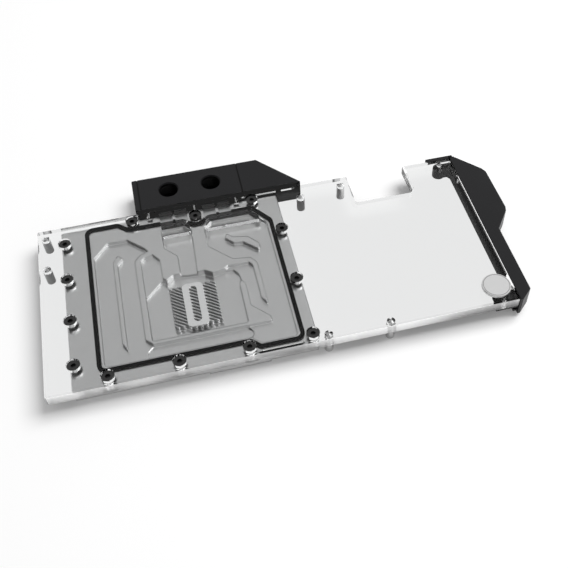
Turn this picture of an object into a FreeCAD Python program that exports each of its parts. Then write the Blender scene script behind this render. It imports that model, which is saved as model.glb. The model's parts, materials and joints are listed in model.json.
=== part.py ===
import FreeCAD, Part
import math
import os

import Sketcher
from FreeCAD import Placement, Rotation, Vector

# Full-cover liquid cooling block for a graphics card.
# The clear top plate lies parallel to the ground on six stand-offs.
# Sizes are measured from the top plate's front left corner: x along its length,
# y towards the port block, z up from the ends of the stand-offs.
# Every sub-part's Placement then moves the whole to its centre.

doc = FreeCAD.newDocument("cooling_block")
sheet = doc.addObject("Spreadsheet::Sheet", "Sizes")


class Size:
    """A number together with the expression that gives it in the document."""

    def __init__(self, value, text):
        self.value = value
        self.text = text

    def __add__(self, other):
        other = as_size(other)
        return Size(self.value + other.value, "(%s + %s)" % (self.text, other.text))

    def __sub__(self, other):
        other = as_size(other)
        return Size(self.value - other.value, "(%s - %s)" % (self.text, other.text))

    def __mul__(self, other):
        other = as_size(other)
        return Size(self.value * other.value, "(%s * %s)" % (self.text, other.text))

    def __truediv__(self, other):
        other = as_size(other)
        return Size(self.value / other.value, "(%s / %s)" % (self.text, other.text))

    def __neg__(self):
        return Size(-self.value, "(0 - %s)" % self.text)


def as_size(number):
    return number if isinstance(number, Size) else Size(float(number), "%r" % float(number))


rows_used = []


def size(name, value):
    """Writes one driving dimension into the sheet and returns it."""
    rows_used.append(name)
    row = len(rows_used)
    sheet.set("A%d" % row, name)
    sheet.set("B%d" % row, "%r" % value)
    sheet.setAlias("B%d" % row, name)
    return Size(value, "Sizes." + name)


zero = Size(0.0, "0")

# Top plate
plate_length = size("plate_length", 252.0)
plate_width = size("plate_width", 115.5)
plate_thickness = size("plate_thickness", 6.5)
plate_corner = size("plate_corner", 1.2)
plate_bevel = size("plate_bevel", 0.9)
notch_margin = size("notch_margin", 30.4)
notch_width = size("notch_width", 36.0)
notch_depth = size("notch_depth", 22.8)
notch_corner = size("notch_corner", 2.6)
lip_reach = size("lip_reach", 2.4)
lip_thickness = size("lip_thickness", 0.8)
seat_gap = size("seat_gap", 0.05)

# Stand-offs
standoff_height = size("standoff_height", 8.5)
standoff_radius = size("standoff_radius", 2.4)
spigot_radius = size("spigot_radius", 2.0)
spigot_length = size("spigot_length", 2.6)
standoff_hole_radius = size("standoff_hole_radius", 2.25)
standoff_hole_depth = size("standoff_hole_depth", 3.4)
standoff_bore_radius = size("standoff_bore_radius", 1.25)
standoff_bore_depth = size("standoff_bore_depth", 6.0)
left_standoff_x = size("left_standoff_x", 4.2)
left_standoff_inset = size("left_standoff_inset", 5.3)
left_standoff_pitch = size("left_standoff_pitch", 23.8)
middle_standoff_gap = size("middle_standoff_gap", 13.8)
middle_standoff_inset = size("middle_standoff_inset", 8.6)
notch_standoff_gap = size("notch_standoff_gap", 4.9)
notch_standoff_inset = size("notch_standoff_inset", 4.9)
front_standoff_y = size("front_standoff_y", 4.3)
front_standoff_x = size("front_standoff_x", 146.5)
front_standoff_pitch = size("front_standoff_pitch", 34.2)

# Cold plate
cold_left = size("cold_left", 12.8)
cold_front = size("cold_front", 3.0)
cold_length = size("cold_length", 128.2)
cold_back_inset = size("cold_back_inset", 1.5)
cold_thickness = size("cold_thickness", 6.0)
cold_corner = size("cold_corner", 0.8)
cold_bevel = size("cold_bevel", 0.4)
channel_depth = size("channel_depth", 2.2)
chamber_depth = size("chamber_depth", 4.0)
front_channel_depth = size("front_channel_depth", 2.9)
chamber_left = size("chamber_left", 55.6)
chamber_right = size("chamber_right", 107.3)
chamber_front = size("chamber_front", 24.0)
chamber_back_inset = size("chamber_back_inset", 50.9)
chamber_cut = size("chamber_cut", 9.9)
ridge_thickness = size("ridge_thickness", 3.3)
front_ridge_thickness = size("front_ridge_thickness", 1.8)
front_ridge_right = size("front_ridge_right", 119.6)
divider_left = size("divider_left", 40.3)
divider_thickness = size("divider_thickness", 2.3)
divider_front = size("divider_front", 26.0)
divider_back_inset = size("divider_back_inset", 33.5)
shelf_right = size("shelf_right", 69.8)
shelf_step = size("shelf_step", 76.6)
shelf_pocket = size("shelf_pocket", 66.3)
shelf_front_inset = size("shelf_front_inset", 38.0)
shelf_back_inset = size("shelf_back_inset", 16.0)
hook_left = size("hook_left", 117.2)
hook_thickness = size("hook_thickness", 3.0)
hook_reach = size("hook_reach", 9.5)
hook_rise = size("hook_rise", 1.0)
inlet_right = size("inlet_right", 86.6)
island_thickness = size("island_thickness", 3.2)
front_channel_left = size("front_channel_left", 52.8)
front_channel_right = size("front_channel_right", 108.7)
chip_pad_height = size("chip_pad_height", 2.0)
chip_pad_width = size("chip_pad_width", 40.0)
side_pad_width = size("side_pad_width", 13.0)
side_pad_inset = size("side_pad_inset", 16.5)
side_pad_margin = size("side_pad_margin", 12.0)
front_step_length = size("front_step_length", 21.4)
front_step_gap = size("front_step_gap", 5.6)
front_step_width = size("front_step_width", 1.0)
front_step_depth = size("front_step_depth", 1.3)
front_pad_left = size("front_pad_left", 82.0)
front_pad_right = size("front_pad_right", 115.0)
front_pad_width = size("front_pad_width", 7.0)
side_pad_height = size("side_pad_height", 1.4)

# Main seal, laid round the wet area
seal_cord = size("seal_cord", 2.0)
seal_groove_clearance = size("seal_groove_clearance", 0.2)
seal_squeeze = size("seal_squeeze", 0.35)
seal_left = size("seal_left", 27.5)
seal_front = size("seal_front", 11.2)
seal_right = size("seal_right", 133.6)
seal_back_inset = size("seal_back_inset", 8.6)
seal_back_left_inset = size("seal_back_left_inset", 3.7)
seal_corner = size("seal_corner", 4.0)
seal_bend = size("seal_bend", 2.6)
seal_jog = size("seal_jog", 4.8)
wet_inset = size("wet_inset", 2.5)

# Clamp screws
screw_head_radius = size("screw_head_radius", 3.4)
screw_head_height = size("screw_head_height", 2.6)
screw_radius = size("screw_radius", 2.0)
screw_bite = size("screw_bite", 4.2)
screw_hex = size("screw_hex", 2.6)
screw_hex_depth = size("screw_hex_depth", 1.5)
screw_sink = size("screw_sink", 3.4)
screw_clearance = size("screw_clearance", 0.3)
left_row_x = size("left_row_x", 15.1)
left_row_first = size("left_row_first", 16.8)
left_row_pitch = size("left_row_pitch", 29.2)
left_row_inset = size("left_row_inset", 13.1)
front_row_y = size("front_row_y", 6.0)
front_row_first = size("front_row_first", 31.6)
front_row_pitch = size("front_row_pitch", 36.5)
right_row_x = size("right_row_x", 138.4)
right_row_pitch = size("right_row_pitch", 38.75)
back_row_inset = size("back_row_inset", 4.7)
back_left_x = size("back_left_x", 54.3)
back_middle_x = size("back_middle_x", 91.0)
back_middle_inset = size("back_middle_inset", 9.3)
back_right_x = size("back_right_x", 125.7)

# Water ways through the plate's back edge
port_x = size("port_x", 78.4)
port_pitch = size("port_pitch", 25.7)
duct_width = size("duct_width", 16.2)
duct_height = size("duct_height", 2.0)
duct_level = size("duct_level", 2.4)
duct_rib = size("duct_rib", 1.6)
duct_flare = size("duct_flare", 5.0)
duct_neck = size("duct_neck", 7.6)
duct_reach = size("duct_reach", 21.0)
duct_drop_inset = size("duct_drop_inset", 11.7)
outlet_reach = size("outlet_reach", 127.2)

# Port block
terminal_left = size("terminal_left", 57.2)
terminal_length = size("terminal_length", 100.0)
terminal_back_length = size("terminal_back_length", 77.4)
terminal_depth = size("terminal_depth", 28.4)
terminal_edge = size("terminal_edge", 0.8)
terminal_bevel = size("terminal_bevel", 0.3)
port_radius = size("port_radius", 5.75)
port_depth = size("port_depth", 11.0)
port_back = size("port_back", 15.6)
port_chamfer = size("port_chamfer", 0.5)
groove_width = size("groove_width", 0.7)
groove_depth = size("groove_depth", 0.6)
left_groove_x = size("left_groove_x", 60.5)
right_groove_x = size("right_groove_x", 121.7)
port_seal_cord = size("port_seal_cord", 1.0)
port_seal_margin = size("port_seal_margin", 0.8)
key_depth = size("key_depth", 0.7)
key_height = size("key_height", 2.0)
key_screw_gap = size("key_screw_gap", 4.0)
key_gap = size("key_gap", 3.6)
key_end_gap = size("key_end_gap", 4.6)
key_right_length = size("key_right_length", 8.0)
key_clearance = size("key_clearance", 0.1)
terminal_screw_radius = size("terminal_screw_radius", 1.5)
terminal_screw_head = size("terminal_screw_head", 2.75)
terminal_screw_bite = size("terminal_screw_bite", 4.4)
terminal_screw_sink = size("terminal_screw_sink", 4.0)
terminal_screw_head_height = size("terminal_screw_head_height", 3.0)
terminal_screw_left = size("terminal_screw_left", 64.4)
terminal_screw_right = size("terminal_screw_right", 116.4)

# Fins and jet plate
fin_left = size("fin_left", 68.5)
fin_front_gap = size("fin_front_gap", 6.0)
fin_block_length = size("fin_block_length", 25.8)
fin_back_gap = size("fin_back_gap", 7.0)
fin_height = size("fin_height", 3.4)
fin_pitch = size("fin_pitch", 1.85)
fin_gap = size("fin_gap", 0.95)
fin_turn = size("fin_turn", 37.6)
jet_thickness = size("jet_thickness", 0.6)
jet_front_overhang = size("jet_front_overhang", 1.7)
jet_back_overhang = size("jet_back_overhang", 0.5)
jet_width = size("jet_width", 11.6)
jet_corner = size("jet_corner", 2.6)
jet_slot_margin = size("jet_slot_margin", 3.0)
jet_slot_width = size("jet_slot_width", 4.2)

# End cover and lighting
cover_left_gap = size("cover_left_gap", 0.3)
cover_length = size("cover_length", 18.1)
cover_waist = size("cover_waist", 8.0)
waist_end = size("waist_end", 51.5)
shoulder_y = size("shoulder_y", 66.7)
cover_overhang = size("cover_overhang", 0.8)
cover_drop = size("cover_drop", 6.0)
cover_wall = size("cover_wall", 1.8)
cover_roof = size("cover_roof", 2.0)
housing_wall = size("housing_wall", 1.6)
housing_floor = size("housing_floor", 1.4)
lug_radius = size("lug_radius", 3.8)
lug_inset = size("lug_inset", 7.6)
back_lug_inset = size("back_lug_inset", 4.3)
front_lug_y = size("front_lug_y", 4.8)
front_lug_thickness = size("front_lug_thickness", 1.2)
front_lug_length = size("front_lug_length", 12.6)
clip_length = size("clip_length", 15.4)
clip_thickness = size("clip_thickness", 1.0)
clip_overlap = size("clip_overlap", 1.5)
clip_rise = size("clip_rise", 0.4)
lug_screw_radius = size("lug_screw_radius", 1.5)
lug_screw_head = size("lug_screw_head", 2.6)
lug_screw_head_height = size("lug_screw_head_height", 1.8)
lug_screw_cover = size("lug_screw_cover", 1.6)
guide_front = size("guide_front", 7.8)
guide_back_inset = size("guide_back_inset", 17.5)
guide_width = size("guide_width", 0.8)
guide_flare = size("guide_flare", 1.8)
guide_head = size("guide_head", 0.7)
guide_head_length = size("guide_head_length", 2.4)
guide_flare_length = size("guide_flare_length", 10.0)
board_thickness = size("board_thickness", 1.2)
board_height = size("board_height", 8.6)
board_setback = size("board_setback", 1.8)
board_margin = size("board_margin", 4.0)
led_size = size("led_size", 3.6)
led_thickness = size("led_thickness", 1.2)
led_pitch = size("led_pitch", 10.4)
cover_screw_radius = size("cover_screw_radius", 1.25)
cover_screw_head = size("cover_screw_head", 2.2)
cover_screw_length = size("cover_screw_length", 6.0)
cover_screw_head_height = size("cover_screw_head_height", 1.3)
cover_boss = size("cover_boss", 2.5)

# Badge
badge_radius = size("badge_radius", 8.0)
badge_thickness = size("badge_thickness", 1.5)
badge_inset = size("badge_inset", 9.5)
badge_y = size("badge_y", 10.9)

# Levels and places that follow from the sizes
plate_level = standoff_height
plate_top = plate_level + plate_thickness
notch_right = plate_length - notch_margin
notch_left = notch_right - notch_width
notch_floor_y = plate_width - notch_depth
cold_top = plate_level - seat_gap
cold_level = plate_level - cold_thickness
channel_floor = cold_top - channel_depth
chamber_floor = cold_top - chamber_depth
cold_right = cold_left + cold_length
cold_width = plate_width - cold_front - cold_back_inset
chamber_back = plate_width - chamber_back_inset
divider_back = plate_width - divider_back_inset
shelf_front_y = plate_width - shelf_front_inset
shelf_back_y = plate_width - shelf_back_inset
hook_front = (chamber_front + chamber_back) / 2 - hook_reach
hook_back = chamber_back + hook_rise
seal_back = plate_width - seal_back_inset
seal_back_left = plate_width - seal_back_left_inset
back_row_y = plate_width - back_row_inset
back_middle_y = plate_width - back_middle_inset
duct_inner_end = plate_width - duct_reach
duct_drop_back = plate_width - duct_drop_inset
key_left = terminal_screw_right + key_screw_gap
key_right = terminal_left + terminal_length - key_end_gap
key_gap_x = key_right - key_right_length - key_gap
guide_back = plate_width - guide_back_inset
lug_x = plate_length - lug_inset
back_lug_y = plate_width - back_lug_inset
badge_x = plate_length - badge_inset
duct_bottom = plate_level + duct_level
duct_middle = duct_bottom + duct_height / 2
outlet_x = port_x + port_pitch
fin_front = chamber_front + fin_front_gap
fin_block_width = chamber_back - fin_back_gap - fin_front
fin_middle_x = fin_left + fin_block_length / 2
fin_middle_y = fin_front + fin_block_width / 2
cover_x = plate_length + cover_left_gap
cover_right = cover_x + cover_length
housing_top = plate_level - seat_gap
cover_bottom = housing_top - cover_drop
seal_height = seal_cord - seal_squeeze
seal_groove_width = seal_cord + seal_groove_clearance
terminal_front = plate_width
terminal_back = terminal_front + terminal_depth

shift_x = -cover_right / 2
shift_y = -(terminal_back - cover_overhang) / 2

left_row = [(left_row_x, left_row_first + left_row_pitch * i) for i in range(3)] + [(left_row_x, plate_width - left_row_inset)]
front_row = [(front_row_first + front_row_pitch * i, front_row_y) for i in range(3)] + [(right_row_x, front_row_y)]
right_row = [(right_row_x, front_row_y + right_row_pitch * i) for i in (1, 2)]
back_row = [(back_left_x, back_row_y), (back_middle_x, back_middle_y), (back_right_x, back_row_y)]
clamp_places = left_row + front_row + right_row + back_row

left_standoff_high = plate_width - left_standoff_inset
left_standoffs = [(left_standoff_x, left_standoff_high - left_standoff_pitch), (left_standoff_x, left_standoff_high)]
middle_standoffs = [(cold_right + middle_standoff_gap, plate_width - middle_standoff_inset),
                    (notch_left - notch_standoff_gap, plate_width - notch_standoff_inset)]
front_standoffs = [(front_standoff_x + front_standoff_pitch * i, front_standoff_y) for i in range(2)]
standoff_places = left_standoffs + middle_standoffs + front_standoffs

lug_places = [(lug_x, front_lug_y), (lug_x, back_lug_y)]
terminal_screw_places = [terminal_screw_left, back_middle_x + 0.4, terminal_screw_right]
cover_screw_places = [(cover_x + cover_waist / 2, front_lug_y + 1.0),
                      (cover_x + cover_waist / 2 + 1.0, plate_width - 8.5)]

# Helpers for sketches and features


def new_body(name):
    body = doc.addObject("PartDesign::Body", name)
    body.Label = name
    return body


def new_sketch(body, name, role="XY_Plane", lift=None):
    """A sketch on one of the body's own planes, lifted along the plane's normal."""
    plane = [f for f in body.Origin.OriginFeatures if f.Role == role][0]
    sketch = body.newObject("Sketcher::SketchObject", name)
    sketch.AttachmentSupport = (plane, [""])
    sketch.MapMode = "FlatFace"
    if lift is not None:
        sketch.AttachmentOffset = Placement(Vector(0, 0, lift.value), Rotation())
        sketch.setExpression("AttachmentOffset.Base.z", lift.text)
    return sketch


class Rules:
    """Constraints gathered for one sketch and given to it together."""

    def __init__(self, sketch):
        self.sketch = sketch
        self.constraints = []
        self.texts = []

    def add(self, *values, text=None):
        self.constraints.append(Sketcher.Constraint(*values))
        self.texts.append(text)

    def place(self, geometry, end, x, y):
        """Ties one point to its distances from the sketch's origin."""
        for kind, axis, distance in (("DistanceX", -2, x), ("DistanceY", -1, y)):
            if distance.text == "0":
                self.add("PointOnObject", geometry, end, axis)
            else:
                self.add(kind, -1, 1, geometry, end, distance.value, text=distance.text)

    def give(self):
        indexes = self.sketch.addConstraint(self.constraints)
        for index, text in zip(indexes, self.texts):
            if text is not None:
                self.sketch.setExpression("Constraints[%d]" % index, text)


def add_outline(sketch, corners):
    """A closed outline through corners (x, y, radius), anticlockwise; radius None is sharp."""
    corners = [(as_size(x), as_size(y), None if r is None else as_size(r)) for x, y, r in corners]
    count = len(corners)
    points = [Vector(x.value, y.value, 0) for x, y, r in corners]
    arrive, leave, arcs = [], [], []
    for i, (x, y, radius) in enumerate(corners):
        if radius is None:
            arrive.append(points[i])
            leave.append(points[i])
            arcs.append(None)
            continue
        back = (points[i - 1] - points[i]).normalize()
        ahead = (points[(i + 1) % count] - points[i]).normalize()
        half = back.getAngle(ahead) / 2
        run = radius.value / math.tan(half)
        centre = points[i] + (back + ahead).normalize() * (radius.value / math.sin(half))
        arrive.append(points[i] + back * run)
        leave.append(points[i] + ahead * run)
        middle = centre + (points[i] - centre).normalize() * radius.value
        arcs.append(Part.Arc(arrive[i], middle, leave[i]))
    rules = Rules(sketch)
    lines = []
    for i in range(count):
        lines.append(sketch.addGeometry(Part.LineSegment(leave[i], arrive[(i + 1) % count]), False))
    for i, (x, y, radius) in enumerate(corners):
        before, after = lines[i - 1], lines[i]
        if radius is None:
            rules.add("Coincident", before, 2, after, 1)
            rules.place(after, 1, x, y)
            continue
        arc = sketch.addGeometry(arcs[i], False)
        direction_in = points[i] - points[i - 1]
        direction_out = points[(i + 1) % count] - points[i]
        left_turn = direction_in.cross(direction_out).z > 0
        first, last = (1, 2) if left_turn else (2, 1)
        corner = sketch.addGeometry(Part.Point(points[i]), True)
        rules.place(corner, 1, x, y)
        rules.add("Tangent", before, 2, arc, first)
        rules.add("Tangent", arc, last, after, 1)
        rules.add("PointOnObject", corner, 1, before)
        rules.add("PointOnObject", corner, 1, after)
        rules.add("Radius", arc, radius.value, text=radius.text)
    rules.give()


def add_rectangle(sketch, left, low, right, high, radius=None):
    add_outline(sketch, [(left, low, radius), (right, low, radius), (right, high, radius), (left, high, radius)])


def add_circle(sketch, x, y, radius):
    x, y, radius = as_size(x), as_size(y), as_size(radius)
    circle = sketch.addGeometry(Part.Circle(Vector(x.value, y.value, 0), Vector(0, 0, 1), radius.value), False)
    rules = Rules(sketch)
    rules.place(circle, 3, x, y)
    rules.add("Radius", circle, radius.value, text=radius.text)
    rules.give()


def pad(body, sketch, length):
    before = body.Shape.Volume if body.Tip else 0.0
    feature = body.newObject("PartDesign::Pad", sketch.Name + "_pad")
    feature.Profile = sketch
    feature.Length = length.value
    feature.setExpression("Length", length.text)
    doc.recompute()
    check_volume(body, before, feature, grows=True)
    return feature


def pocket(body, sketch, length, upwards=False):
    """Cuts against the sketch's normal, or along it with upwards."""
    before = body.Shape.Volume
    feature = body.newObject("PartDesign::Pocket", sketch.Name + "_pocket")
    feature.Profile = sketch
    feature.Length = length.value
    feature.setExpression("Length", length.text)
    feature.Reversed = upwards
    doc.recompute()
    check_volume(body, before, feature, grows=False)
    return feature


def check_volume(body, before, feature, grows):
    change = body.Shape.Volume - before
    if (change <= 0) if grows else (change >= 0):
        raise RuntimeError("%s changes nothing" % feature.Name)


def edges_at_height(shape, height):
    """Names of the edges that lie wholly in the plane at this height."""
    names = []
    for i, edge in enumerate(shape.Edges):
        box = edge.BoundBox
        if abs(box.ZMin - height) < 1e-4 and abs(box.ZMax - height) < 1e-4:
            names.append("Edge%d" % (i + 1))
    return names


def chamfer(body, feature, edge_names, width):
    bevel = body.newObject("PartDesign::Chamfer", feature.Name + "_bevel")
    bevel.Base = (feature, edge_names)
    bevel.Size = width.value
    bevel.setExpression("Size", width.text)
    doc.recompute()
    return bevel


def seat(part):
    """Moves a finished sub-part from the plate's corner to the common centre."""
    part.Placement = Placement(Vector(shift_x.value, shift_y.value, 0), Rotation())
    part.setExpression("Placement.Base.x", shift_x.text)
    part.setExpression("Placement.Base.y", shift_y.text)
    finished.append(part)
    return part


finished = []

# The route of the main seal, anticlockwise from the front left corner.
# It steps round the front and the back clamp screws.


def seal_route():
    jog_front = seal_front - seal_jog
    jog_x = front_row_first + front_row_pitch * 2 + seal_cord * 0.65
    step_low = back_middle_y - seal_jog
    step_half = seal_bend + 0.2
    outlet_back = seal_back - 0.5
    return [(seal_left, seal_front, seal_corner),
            (jog_x, seal_front, seal_bend),
            (jog_x + seal_jog, jog_front, seal_bend),
            (seal_right, jog_front, seal_corner),
            (seal_right, outlet_back - 12.4, seal_corner),
            (seal_right - 9.1, outlet_back, seal_corner),
            (back_middle_x + step_half + 4.6, outlet_back, seal_bend),
            (back_middle_x + step_half, step_low, seal_bend),
            (back_middle_x - step_half, step_low, seal_bend),
            (back_middle_x - step_half - 4.6, seal_back, seal_bend),
            (back_left_x - 3.3, seal_back, seal_bend),
            (back_left_x - 8.8, seal_back_left, seal_bend),
            (seal_left, seal_back_left, seal_corner)]


def wet_outline():
    """The wet area's edge: the seal's route moved inwards."""
    mitre = 0.41
    route = seal_route()
    moves = [(1, 1), (mitre, 1), (mitre, 1), (-1, 1), (-1, -mitre), (-mitre, -1), (mitre, -1),
             (mitre, -1), (-mitre, -1), (-mitre, -1), (-mitre, -1), (-mitre, -1), (1, -1)]
    corner = seal_corner - wet_inset / 2
    radii = [corner, seal_bend, 1.2, corner, corner, corner, 1.2, seal_bend, seal_bend, 1.2, seal_bend, 1.2, corner]
    return [(x + wet_inset * dx, y + wet_inset * dy, r) for (x, y, old), (dx, dy), r in zip(route, moves, radii)]


# Clear top plate


def make_top_plate():
    body = new_body("top_plate_blank")
    outline = new_sketch(body, "plate_outline", lift=plate_level)
    add_outline(outline, [(zero, zero, plate_corner), (plate_length, zero, None),
                          (plate_length, plate_width, None), (notch_right, plate_width, None),
                          (notch_right, notch_floor_y, notch_corner), (notch_left, notch_floor_y, notch_corner),
                          (notch_left, plate_width, None), (zero, plate_width, plate_corner)])
    slab = pad(body, outline, plate_thickness)
    chamfer(body, slab, edges_at_height(slab.Shape, plate_top.value), plate_bevel)

    lip = new_sketch(body, "plate_lip", lift=plate_top - lip_thickness)
    lip_left = terminal_left + 1.2
    lip_right = terminal_left + terminal_length - 1.2
    add_outline(lip, [(lip_left, plate_width - plate_bevel * 1.5, None), (lip_right - 3.0, plate_width - plate_bevel * 1.5, None),
                      (lip_right, plate_width + lip_reach, None), (lip_left, plate_width + lip_reach, None)])
    pad(body, lip, lip_thickness)

    sinks = new_sketch(body, "screw_sinks", lift=plate_top)
    for x, y in clamp_places:
        add_circle(sinks, x, y, screw_head_radius + screw_clearance)
    pocket(body, sinks, screw_sink)
    holes = new_sketch(body, "screw_holes", lift=plate_top)
    for x, y in clamp_places:
        add_circle(holes, x, y, screw_radius + screw_clearance / 2)
    pocket(body, holes, plate_thickness)

    blind = new_sketch(body, "standoff_holes", lift=plate_level)
    for x, y in standoff_places:
        add_circle(blind, x, y, standoff_hole_radius)
    pocket(body, blind, standoff_hole_depth, upwards=True)

    lugs = new_sketch(body, "lug_holes", lift=plate_level)
    for x, y in lug_places:
        add_circle(lugs, x, y, lug_screw_radius + 0.1)
    pocket(body, lugs, plate_thickness - lug_screw_cover + 0.5, upwards=True)

    drops = new_sketch(body, "water_drops", lift=plate_level)
    half = duct_width / 2
    add_outline(drops, [(port_x - half, duct_inner_end, 1.0), (port_x + half, duct_inner_end, 1.0),
                        (port_x + half, duct_drop_back - 3.4, None), (port_x + half - 2.8, duct_drop_back, None),
                        (port_x - half, duct_drop_back, None)])
    add_outline(drops, [(outlet_x - half, duct_inner_end, 1.0), (outlet_reach, duct_inner_end, 1.0),
                        (outlet_reach, duct_inner_end + 3.0, None), (outlet_reach - 5.3, duct_drop_back, None),
                        (outlet_x - half + 2.7, duct_drop_back, None),
                        (outlet_x - half, duct_drop_back - 3.0, None)])
    pocket(body, drops, duct_level + duct_height, upwards=True)

    ducts = new_sketch(body, "water_ducts", role="XZ_Plane", lift=-plate_width)
    for middle in (port_x, outlet_x):
        for side in (-1, 1):
            inner = middle + duct_rib / 2 * side
            outer = middle + half * side
            left, right = (outer, inner) if side < 0 else (inner, outer)
            add_rectangle(ducts, left, duct_bottom, right, duct_bottom + duct_height)
    pocket(body, ducts, plate_width - duct_drop_back + 0.5, upwards=True)

    grooves = new_sketch(body, "port_seal_grooves", role="XZ_Plane", lift=-plate_width)
    for middle in (port_x, outlet_x):
        add_port_ring(grooves, middle)
    pocket(body, grooves, port_seal_cord, upwards=True)

    tapped = new_sketch(body, "terminal_screw_holes", role="XZ_Plane", lift=-plate_width)
    for x in terminal_screw_places:
        add_circle(tapped, x, duct_middle, terminal_screw_radius + 0.1)
    pocket(body, tapped, terminal_screw_bite + 0.4, upwards=True)

    keys = new_sketch(body, "key_slots", role="XZ_Plane", lift=-plate_width)
    add_keys(keys, key_clearance)
    pocket(body, keys, key_depth + key_clearance, upwards=True)

    edge = new_sketch(body, "light_guide_notch", lift=plate_top)
    add_outline(edge, light_guide_outline(plate_length + 1.0, zero))
    pocket(body, edge, plate_thickness)
    doc.recompute()

    cones = []
    for i, (x, y) in enumerate(standoff_places):
        cone = doc.addObject("Part::Cone", "drill_point_%d" % (i + 1))
        bind_size(cone, "Radius1", standoff_hole_radius)
        cone.Radius2 = 0
        bind_size(cone, "Height", standoff_hole_radius * 0.9)
        bind_place(cone, x, y, plate_level + standoff_hole_depth)
        cones.append(cone)
    groove = make_seal_groove()
    top = doc.addObject("Part::Cut", "top_plate")
    tools = doc.addObject("Part::MultiFuse", "top_plate_tools")
    tools.Shapes = cones + [groove]
    top.Base = body
    top.Tool = tools
    top.Label = "top_plate"
    return seat(top)


def bind_size(thing, prop, value):
    setattr(thing, prop, value.value)
    thing.setExpression(prop, value.text)


def bind_place(thing, x, y, z):
    thing.Placement = Placement(Vector(x.value, y.value, z.value), Rotation())
    thing.setExpression("Placement.Base.x", x.text)
    thing.setExpression("Placement.Base.y", y.text)
    thing.setExpression("Placement.Base.z", z.text)


def make_seal_groove():
    """A square groove along the seal's route, open at the plate's underside."""
    body = new_body("seal_groove")
    path = new_sketch(body, "groove_path", lift=plate_level)
    add_outline(path, seal_route())
    section = new_sketch(body, "groove_section", role="YZ_Plane", lift=seal_left + seal_corner)
    half = seal_groove_width / 2
    add_rectangle(section, seal_front - half, plate_level - 0.5, seal_front + half, plate_level + seal_height)
    return sweep(body, path, section)


def sweep(body, path, section):
    doc.recompute()
    pipe = body.newObject("PartDesign::AdditivePipe", body.Name + "_pipe")
    pipe.Profile = section
    pipe.Spine = path
    doc.recompute()
    return body


def add_port_ring(sketch, middle):
    """The inner and outer edge of the flat ring that seals one water way."""
    half_length = duct_width / 2 + port_seal_margin
    half_height = duct_height / 2 + port_seal_margin / 4
    for grow in (zero, port_seal_cord):
        add_rectangle(sketch, middle - half_length - grow, duct_middle - half_height - grow,
                      middle + half_length + grow, duct_middle + half_height + grow)


def add_keys(sketch, clearance):
    """Two flat keys in line on the port block's front face."""
    low = duct_middle - key_height / 2 - clearance
    high = duct_middle + key_height / 2 + clearance
    add_rectangle(sketch, key_left - clearance, low, key_gap_x + clearance, high)
    add_rectangle(sketch, key_gap_x + key_gap - clearance, low, key_right + clearance, high)


def light_guide_outline(right, clearance):
    """The thin bar along the plate's right end, with a blade at its front."""
    left = plate_length - guide_width - clearance
    flare = plate_length - guide_flare - clearance
    return [(right, guide_front - clearance, None), (right, guide_back + clearance, None),
            (left - guide_head, guide_back + clearance, None),
            (left - guide_head, guide_back - guide_head_length - clearance, None),
            (left, guide_back - guide_head_length * 1.4, None), (left, guide_front + guide_flare_length, None),
            (flare, guide_front + guide_flare_length - 2.2, None), (flare, guide_front + 3.4, None),
            (plate_length - 0.4 - clearance, guide_front - clearance, None)]


# Cold plate


def shelf_outline():
    """The land in the back left of the milled area, which joins its rim."""
    ridge_left = chamber_left - ridge_thickness
    rim = seal_left + wet_inset
    return [(rim - 0.5, shelf_back_y - 10.7, None),
            (divider_left - 1.8, shelf_back_y + 0.2, 1.5),
            (ridge_left - 2.4, shelf_back_y, 1.0),
            (ridge_left - 1.1, shelf_back_y - 1.6, 1.0),
            (ridge_left + 6.1, shelf_back_y - 8.6, 2.0),
            (shelf_pocket, shelf_front_y + 2.0, 1.0),
            (shelf_pocket, chamber_back + 1.2, None),
            (shelf_pocket + 1.8, chamber_back - 1.2, None),
            (shelf_step - 4.4, chamber_back + 2.0, None),
            (shelf_step - 0.2, chamber_back + 2.2, None),
            (shelf_step, shelf_front_y + 2.5, 1.5),
            (shelf_right, shelf_front_y + 10.2, 1.5),
            (shelf_right, seal_back - 1.0, None),
            (rim - 0.5, seal_back_left - 1.0, None)]


def hook_outline():
    """The land right of the inlet, with a hooked arm round the way out of the chamber."""
    hook_right = hook_left + hook_thickness
    neck = back_middle_y - seal_jog - wet_inset
    return [(inlet_right - 0.9, chamber_back + 1.2, None),
            (chamber_right - 17.7, chamber_back + 1.3, None),
            (chamber_right - 13.2, chamber_back - 1.8, None),
            (chamber_right - 6.2, chamber_back - 0.4, None),
            (chamber_right - 4.0, hook_back + 0.5, None),
            (hook_left - 2.0, hook_back, 1.0),
            (hook_left - 0.2, hook_back - 2.8, 1.0),
            (hook_left, hook_front + 4.0, 1.0),
            (hook_right - 0.6, hook_front, None),
            (hook_right, hook_front + 2.4, None),
            (hook_right - 0.4, hook_back - 1.2, 1.0),
            (hook_left - 0.4, hook_back + 3.1, 1.0),
            (hook_left - 10.3, hook_back + 4.6, 2.0),
            (back_middle_x + 3.6, hook_back + 17.6, 2.0),
            (back_middle_x + 3.6, neck + 1.5, None),
            (inlet_right + 0.6, neck + 1.5, None)]


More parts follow.
